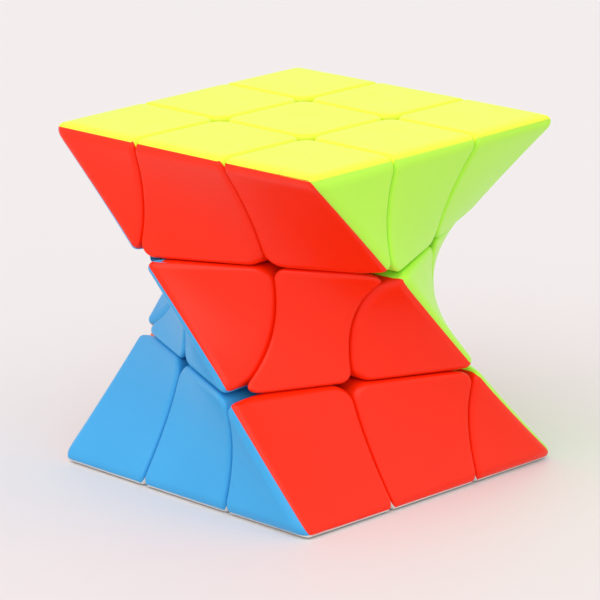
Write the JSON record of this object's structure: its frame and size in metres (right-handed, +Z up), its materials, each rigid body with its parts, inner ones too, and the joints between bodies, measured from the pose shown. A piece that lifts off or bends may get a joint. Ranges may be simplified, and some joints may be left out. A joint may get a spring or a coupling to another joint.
{
  "type": "twisty puzzle cube",
  "caption": "Turning puzzle shaped as a cube twisted a quarter turn, with coloured pieces in a grid that turn in layers round a hidden sprung core.",
  "frame": {"origin": "middle of the bottom face, on the surface that the puzzle stands on", "axes": "+Z up along the turning axis of the top and bottom layers; X and Y along the sides of the top and bottom squares; red reaches the top square's -Y side"},
  "size_m": [0.0592, 0.0592, 0.057],
  "materials": {
    "yellow_abs": "moulded ABS, satin gloss, coloured all through",
    "white_abs": "moulded ABS, satin gloss, coloured all through",
    "red_abs": "moulded ABS, satin gloss, coloured all through",
    "green_abs": "moulded ABS, satin gloss, coloured all through",
    "orange_abs": "moulded ABS, satin gloss, coloured all through",
    "blue_abs": "moulded ABS, satin gloss, coloured all through",
    "yellow_base": "moulded ABS, plain inner piece",
    "white_base": "moulded ABS, plain inner piece",
    "core_nylon": "moulded nylon, matte",
    "screw_steel": "turned steel, zinc plated",
    "spring_steel": "drawn spring wire"
  },
  "bodies": {
    "middle_slice": {"core": "core_nylon", "edge_middle_red": "red_abs", "edge_middle_green": "green_abs", "edge_middle_orange": "orange_abs", "edge_middle_blue": "blue_abs", "centre_cap_blue_red": "red_abs", "centre_base_blue_red": "yellow_base", "centre_cap_red_green": "green_abs", "centre_base_red_green": "yellow_base", "centre_cap_green_orange": "orange_abs", "centre_base_green_orange": "yellow_base", "centre_cap_orange_blue": "blue_abs", "centre_base_orange_blue": "yellow_base", "screw_yellow": "screw_steel", "washer_yellow": "screw_steel", "spring_yellow": "spring_steel", "screw_white": "screw_steel", "washer_white": "screw_steel", "spring_white": "spring_steel", "screw_blue_red": "screw_steel", "washer_blue_red": "screw_steel", "spring_blue_red": "spring_steel", "screw_red_green": "screw_steel", "washer_red_green": "screw_steel", "spring_red_green": "spring_steel", "screw_green_orange": "screw_steel", "washer_green_orange": "screw_steel", "spring_green_orange": "spring_steel", "screw_orange_blue": "screw_steel", "washer_orange_blue": "screw_steel", "spring_orange_blue": "spring_steel"},
    "top_layer": {"corner_yellow_red_green": "yellow_abs", "edge_yellow_red": "yellow_abs", "corner_yellow_green_orange": "yellow_abs", "edge_yellow_green": "yellow_abs", "corner_yellow_orange_blue": "yellow_abs", "edge_yellow_orange": "yellow_abs", "corner_yellow_blue_red": "yellow_abs", "edge_yellow_blue": "yellow_abs", "centre_cap_yellow": "yellow_abs", "centre_base_yellow": "yellow_base"},
    "bottom_layer": {"corner_white_green_red": "white_abs", "edge_white_green": "white_abs", "corner_white_red_blue": "white_abs", "edge_white_red": "white_abs", "corner_white_blue_orange": "white_abs", "edge_white_blue": "white_abs", "corner_white_orange_green": "white_abs", "edge_white_orange": "white_abs", "centre_cap_white": "white_abs", "centre_base_white": "white_base"}
  },
  "joints": [
    {"name": "top_layer_turn", "type": "hinge", "parent": "middle_slice", "child": "top_layer", "pos_m": [0, 0, 0.0475], "axis": [0, 0, 1], "continuous": true},
    {"name": "bottom_layer_turn", "type": "hinge", "parent": "middle_slice", "child": "bottom_layer", "pos_m": [0, 0, 0.0095], "axis": [0, 0, 1], "continuous": true}
  ]
}
